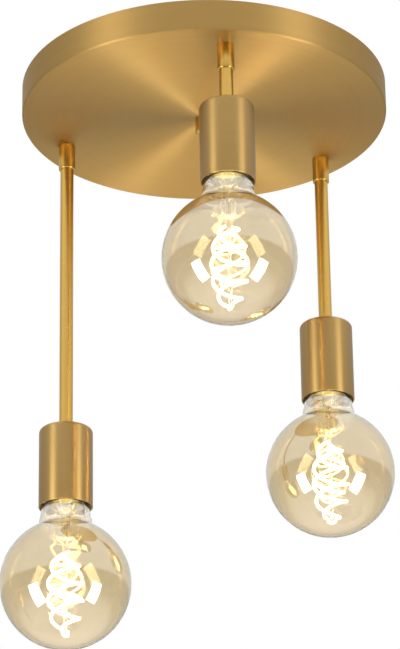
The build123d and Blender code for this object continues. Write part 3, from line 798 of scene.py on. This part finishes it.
class LIGHT_OT_holders(bpy.types.Operator):
    """Finish the lampholders and roll the thread of their shells"""

    bl_idname = "ceiling_light.holders"
    bl_label = "Lampholders"

    def execute(self, context):
        black = shade("black_moulding", moulded, (0.018, 0.017, 0.016), 0.45)
        spring = shade("contact_brass", smooth_metal, (0.60, 0.46, 0.22), 0.28)
        dress(NODES["holder_contacts"], spring)
        for name in PENDANTS:
            dress(NODES[f"{name}_holder_cap"], black)
            dress(NODES[f"{name}_holder_body"], black)
            self.shell(name, spring)
        return {"FINISHED"}

    def shell(self, name, material):
        """A rolled shell whose thread follows the lamp's with a clearance."""
        low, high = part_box(f"{name}_screw_shell")
        wall = 0.5 * MM
        outer = (high.x - low.x) / 2
        bm = bmesh.new()
        corners = outline(
            bm,
            [(CAP_OPENING, high.z), (outer, high.z), (outer, low.z), (outer - wall, low.z),
             (outer - wall, high.z - wall), (CAP_OPENING, high.z - wall)],
        )
        upright_walls = [edge for edge in bm.edges if abs(edge.verts[0].co.x - edge.verts[1].co.x) < 1e-7
                         and edge.calc_length() > 5 * MM]
        bmesh.ops.subdivide_edges(bm, edges=upright_walls, cuts=84)
        spin_round(bm, steps=72)
        centre = foot_of(f"{name}_contact_tip") - CONTACT_TIP_LEVEL
        wind_thread(
            bm, outer, sizes().lamp_pitch, sizes().lamp_depth, centre + SHELL_THREAD[0], centre + SHELL_THREAD[1],
            2.5 * MM,
            (outer - wall - 0.05 * MM, outer + 0.05 * MM),
        )
        moved_to(bm, *axis_of(f"{name}_screw_shell"))
        finished(bm, f"{name}_threaded_shell", "fixture", material, [f"{name}_screw_shell"])


class LIGHT_OT_globes(bpy.types.Operator):
    """Blow the amber globes and their glass stems"""

    bl_idname = "ceiling_light.globes"
    bl_label = "Globes and stems"

    def execute(self, context):
        clear = shade("stem_glass", stem_glass)
        for name in PENDANTS:
            low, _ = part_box(f"{name}_glass")
            centre = low.z + GLOBE_RADIUS * MM
            x, y = axis_of(f"{name}_glass")
            amber = globe_glass(f"amber_glass_{name}", centre, tuple(colours().amber))
            bm = bmesh.new()
            profile(bm, GLOBE_KNOTS, 16)
            spin_round(bm, steps=112)
            self.thicken(bm, 1.0 * MM)
            moved_to(bm, x, y, centre)
            finished(bm, f"{name}_blown_globe", f"{name}_lamp", amber, [f"{name}_glass"], crease=60)
            bm = bmesh.new()
            profile(bm, STEM_KNOTS, 10)
            spin_round(bm, steps=48)
            for vert in bm.verts:
                pinch = min(1, max(0, 1 - abs(vert.co.z - PINCH_LEVEL) / PINCH_REACH) * 2)
                vert.co.x *= 1 + 0.25 * pinch
                vert.co.y *= 1 - 0.45 * pinch
            moved_to(bm, x, y, centre, LAMP_TURNS[name])
            finished(bm, f"{name}_drawn_stem", f"{name}_lamp", clear, [f"{name}_stem"], crease=60)
        return {"FINISHED"}

    def thicken(self, bm, wall):
        """Give an open blown skin its wall, inwards."""
        bmesh.ops.recalc_face_normals(bm, faces=bm.faces[:])
        lowest = min(bm.faces, key=lambda face: face.calc_center_median().z)
        if lowest.normal.z > 0:
            bmesh.ops.reverse_faces(bm, faces=bm.faces[:])
        bmesh.ops.solidify(bm, geom=bm.faces[:], thickness=wall)
        bmesh.ops.recalc_face_normals(bm, faces=bm.faces[:])


class LIGHT_OT_filaments(bpy.types.Operator):
    """Wind the double-spiral filaments and bend their support wires"""

    bl_idname = "ceiling_light.filaments"
    bl_label = "Filaments and supports"

    def execute(self, context):
        glow = shade("filament_glow", glowing_coat, tuple(colours().glow), 30.0)
        wire = shade("support_wire", smooth_metal, (0.90, 0.86, 0.78), 0.5)
        for name in PENDANTS:
            x, y = axis_of(f"{name}_glass")
            low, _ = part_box(f"{name}_glass")
            centre = low.z + GLOBE_RADIUS * MM
            bm = wire_mesh([self.winding()], sizes().filament_wire, resolution=5)
            moved_to(bm, x, y, centre, LAMP_TURNS[name])
            finished(
                bm, f"{name}_spiral_filament", f"{name}_lamp", glow, [f"{name}_filament"]
            )
            bm = wire_mesh(self.supports(), SUPPORT_WIRE, resolution=6)
            moved_to(bm, x, y, centre, LAMP_TURNS[name])
            finished(
                bm, f"{name}_support_wires", f"{name}_lamp", wire, [f"{name}_filament_supports"]
            )
        return {"FINISHED"}

    def winding(self):
        """Control points of the whole filament: down one strand, round the hook and up the other."""
        wanted = sizes()
        steps = 40
        falling = []
        for step in range(steps + 1):
            part = step / steps
            angle = -FULL_TURN * FILAMENT_TURNS * part
            swell = max(math.sin(math.pi * part), 0) ** FILAMENT_SWELL
            radius = wanted.filament_end_radius + (wanted.filament_radius - wanted.filament_end_radius) * swell
            height = wanted.filament_top + (wanted.filament_foot - wanted.filament_top) * part
            falling.append((radius * math.cos(angle), radius * math.sin(angle), height))
        low_x, low_y, low_z = falling[-1]
        hook = [(low_x, low_y, low_z - 2.6 * MM), (-low_x, -low_y, low_z - 2.6 * MM)]
        rising = [(-px, -py, pz) for px, py, pz in reversed(falling)]
        return falling + hook + rising

    def supports(self):
        """Lead-in wires down to the strands' ends, and a crown of hooked wires from the bead."""
        wires = []
        for side in (1, -1):
            reach = side * sizes().filament_end_radius
            wires.append([(reach, 0, 45 * MM), (reach, 0, 38 * MM), (reach, 0, 30 * MM), (reach, 0, 24 * MM)])
        for index in range(6):
            angle = math.radians(30 + 60 * index)
            flight = [
                (1.0, 30.0), (4.0, 30.6), (7.5, 31.6), (10.0, 34.5),
                (11.0, 38.4), (9.6, 40.0), (8.4, 38.4), (9.8, 37.4),
            ]
            wires.append([
                (reach * MM * math.cos(angle), reach * MM * math.sin(angle), height * MM)
                for reach, height in flight
            ])
        return wires


class LIGHT_OT_lamp_caps(bpy.types.Operator):
    """Roll the lamp caps' threads and finish insulators, tips and drivers"""

    bl_idname = "ceiling_light.lamp_caps"
    bl_label = "Lamp caps"

    def execute(self, context):
        cap_metal = shade("cap_metal", smooth_metal, (0.78, 0.62, 0.30), 0.24)
        for name in PENDANTS:
            self.cap(name, cap_metal)
            dress(NODES[f"{name}_cap_insulator"], shade("black_glass", moulded, (0.012, 0.012, 0.016), 0.12))
            dress(NODES[f"{name}_contact_tip"], shade("solder", smooth_metal, (0.62, 0.62, 0.60), 0.35))
            dress(NODES[f"{name}_driver"], shade("driver_board", moulded, (0.84, 0.70, 0.20), 0.45))
        return {"FINISHED"}

    def cap(self, name, material):
        low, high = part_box(f"{name}_cap_shell")
        wall = 0.4 * MM
        radius = (high.x - low.x) / 2
        x, y = axis_of(f"{name}_cap_shell")
        bm = bmesh.new()
        taper, top = 2.5 * MM, 10.25 * MM
        corners = outline(
            bm,
            [(CAP_OPENING, high.z), (top, high.z), (radius, high.z - taper), (radius, low.z),
             (radius - wall, low.z), (radius - wall, high.z - taper - 0.15 * MM),
             (top - 0.15 * MM, high.z - wall), (CAP_OPENING, high.z - wall)],
        )
        walls = [edge for edge in bm.edges if abs(edge.verts[0].co.x - edge.verts[1].co.x) < 1e-7
                 and edge.calc_length() > 5 * MM]
        bmesh.ops.subdivide_edges(bm, edges=walls, cuts=72)
        spin_round(bm, steps=72)
        centre = low.z - CAP_RIM_LEVEL
        wind_thread(
            bm, radius, sizes().lamp_pitch, sizes().lamp_depth, centre + CAP_THREAD[0], centre + CAP_THREAD[1],
            1.5 * MM,
            (radius - wall - 0.05 * MM, radius + 0.05 * MM),
        )
        moved_to(bm, x, y)
        finished(bm, f"{name}_threaded_cap", f"{name}_lamp", material, [f"{name}_cap_shell"])


# ---------------------------------------------------------------- stage


class LIGHT_OT_stage(bpy.types.Operator):
    """Set up the camera, two soft lamps, the pale surroundings and the floor"""

    bl_idname = "ceiling_light.stage"
    bl_label = "Stage"

    def execute(self, context):
        scene = context.scene
        stage = scene.ceiling_light_stage
        scene.view_settings.view_transform = "Standard"
        self.camera(scene, stage)
        self.surroundings(scene)
        self.softbox("soft_left", -SOFTBOX_BEARING, stage)
        self.softbox("soft_right", SOFTBOX_BEARING, stage)
        self.floor(stage)
        return {"FINISHED"}

    def camera(self, scene, stage):
        data = bpy.data.cameras.new("camera")
        data.lens = stage.lens
        data.sensor_width = 36
        data.clip_start, data.clip_end = 0.05, 100
        camera = bpy.data.objects.new("camera", data)
        scene.collection.objects.link(camera)
        heading, pitch, roll = stage.heading, stage.pitch, stage.roll
        ahead = Vector((math.sin(heading) * math.cos(pitch), math.cos(heading) * math.cos(pitch), math.sin(pitch)))
        side = Vector((math.cos(heading), -math.sin(heading), 0))
        up = side.cross(ahead)
        right = side * math.cos(roll) + up * math.sin(roll)
        over = up * math.cos(roll) - side * math.sin(roll)
        turn = Matrix((right, over, -ahead)).transposed()
        camera.matrix_world = Matrix.Translation((stage.camera_x, stage.camera_y, stage.camera_z)) @ turn.to_4x4()
        scene.camera = camera

    def surroundings(self, scene):
        """A pale room: white to sight and through glass, and in reflections bright above a dim band."""
        world = bpy.data.worlds.new("surroundings")
        world.use_nodes = True
        tree = world.node_tree
        tree.nodes.clear()

        def add(kind, output=0, operation=None, **values):
            made = tree.nodes.new(kind)
            if operation:
                made.operation = operation
            for socket, value in values.items():
                socket = int(socket[1:]) if socket[1:].isdigit() else socket.replace("_", " ")
                if isinstance(value, bpy.types.NodeSocket):
                    tree.links.new(value, made.inputs[socket])
                else:
                    made.inputs[socket].default_value = value
            return made.outputs[output]

        path = add("ShaderNodeLightPath").node.outputs
        way = add("ShaderNodeTexCoord", "Generated")
        rise = add("ShaderNodeSeparateXYZ", "Z", s0=way)
        behind = add("ShaderNodeMapRange", s0=rise.node.outputs["Y"], s1=-0.2, s2=0.6, s3=1.25, s4=0.72)
        mirrored = add("ShaderNodeMapRange", s0=rise, s1=0.20, s2=0.27, s3=0.36, s4=behind)
        seen = add("ShaderNodeMath", operation="MAXIMUM", s0=path["Is Camera Ray"], s1=path["Is Transmission Ray"])
        soft = add("ShaderNodeMapRange", s0=path["Is Glossy Ray"], s3=0.55, s4=mirrored)
        strength = add("ShaderNodeMapRange", s0=seen, s3=soft, s4=1.0)
        background = add("ShaderNodeBackground", Color=(1, 1, 1, 1), Strength=strength)
        end = tree.nodes.new("ShaderNodeOutputWorld")
        tree.links.new(background, end.inputs["Surface"])
        scene.world = world

    def softbox(self, name, bearing, stage):
        """A rectangular soft lamp, its bearing counted from the camera's side."""
        angle, rise = math.radians(bearing) - stage.heading, math.radians(SOFTBOX_ELEVATION)
        way = Vector((math.sin(angle) * math.cos(rise), -math.cos(angle) * math.cos(rise), math.sin(rise)))
        data = bpy.data.lights.new(name, "AREA")
        data.shape = "RECTANGLE"
        data.size, data.size_y = SOFTBOX_SPREAD
        data.energy = SOFTBOX_RADIANCE * math.pi * SOFTBOX_SPREAD[0] * SOFTBOX_SPREAD[1]
        lamp = bpy.data.objects.new(name, data)
        lamp.matrix_world = Matrix.Translation(Vector((0, 0, -0.2)) + way * SOFTBOX_DISTANCE) @ way.to_track_quat(
            "Z", "Y"
        ).to_matrix().to_4x4()
        bpy.context.scene.collection.objects.link(lamp)

    def floor(self, stage):
        bm = bmesh.new()
        bmesh.ops.create_grid(bm, x_segments=1, y_segments=1, size=25)
        bmesh.ops.translate(bm, verts=bm.verts[:], vec=(0, 0, stage.floor_level))
        mesh = bpy.data.meshes.new("floor")
        bm.to_mesh(mesh)
        bm.free()
        floor = bpy.data.objects.new("floor", mesh)
        bpy.context.scene.collection.objects.link(floor)
        finish = Finish("pale_floor")
        cloud = finish.noise(finish.place(), 3.0, 3.0, 0.5)
        base = finish.between(cloud, (0.80, 0.80, 0.79), (0.84, 0.84, 0.83))
        # Painted glow: to reflections the floor shows a glow brighter than white (strength 1.25), full within 3.5 m of
        # the centre and gone by 8.5 m; to sight and through glass it is the lit floor lifted to white.
        near = finish.spread(
            finish.node("ShaderNodeVectorMath", {"operation": "LENGTH"}, {0: finish.place()}, "Value"), 3.5, 8.5
        )
        mirrored = finish.node("ShaderNodeLightPath", output="Is Glossy Ray")
        seen = mirrored.other("Is Camera Ray") + mirrored.other("Is Transmission Ray")
        boards = finish.surface(Base_Color=base, Roughness=0.9, Specular_IOR_Level=0.1)
        white = (1, 1, 1, 1)
        bright = finish.node("ShaderNodeEmission", {}, {"Color": white, "Strength": 1.25})
        lift = finish.node("ShaderNodeEmission", {}, {"Color": white, "Strength": 0.54})
        lifted = finish.node("ShaderNodeAddShader", {}, {0: boards, 1: lift})
        painted_glow_in_reflections = finish.node("ShaderNodeMixShader", {}, {0: mirrored * (1 - near), 1: boards, 2: bright})
        finish.done(finish.node("ShaderNodeMixShader", {}, {0: seen, 1: painted_glow_in_reflections, 2: lifted}))
        dress(floor, finish.material)


# ---------------------------------------------------------------- panel and registration

STEPS = (
    LIGHT_OT_canopy,
    LIGHT_OT_rods,
    LIGHT_OT_cups,
    LIGHT_OT_fixings,
    LIGHT_OT_terminal,
    LIGHT_OT_holders,
    LIGHT_OT_globes,
    LIGHT_OT_filaments,
    LIGHT_OT_lamp_caps,
    LIGHT_OT_stage,
)


class LIGHT_PT_panel(bpy.types.Panel):
    """Lists the steps that dress the light"""

    bl_idname = "LIGHT_PT_panel"
    bl_label = "Ceiling Light"
    bl_space_type = "VIEW_3D"
    bl_region_type = "UI"
    bl_category = "Ceiling Light"

    def draw(self, context):
        for step in STEPS:
            self.layout.operator(step.bl_idname)


GROUPS = {
    "ceiling_light_sizes": CeilingLightSizes,
    "ceiling_light_colours": CeilingLightColours,
    "ceiling_light_stage": CeilingLightStage,
}


def register():
    for group in GROUPS.values():
        bpy.utils.register_class(group)
    for step in (*STEPS, LIGHT_PT_panel):
        bpy.utils.register_class(step)
    for name, group in GROUPS.items():
        setattr(bpy.types.Scene, name, bpy.props.PointerProperty(type=group))


def unregister():
    for name in GROUPS:
        delattr(bpy.types.Scene, name)
    for step in (LIGHT_PT_panel, *reversed(STEPS)):
        bpy.utils.unregister_class(step)
    for group in GROUPS.values():
        bpy.utils.unregister_class(group)


def main():
    register()
    for step in STEPS:
        family, action = step.bl_idname.split(".")
        getattr(getattr(bpy.ops, family), action)()


if __name__ == "__main__":
    main()
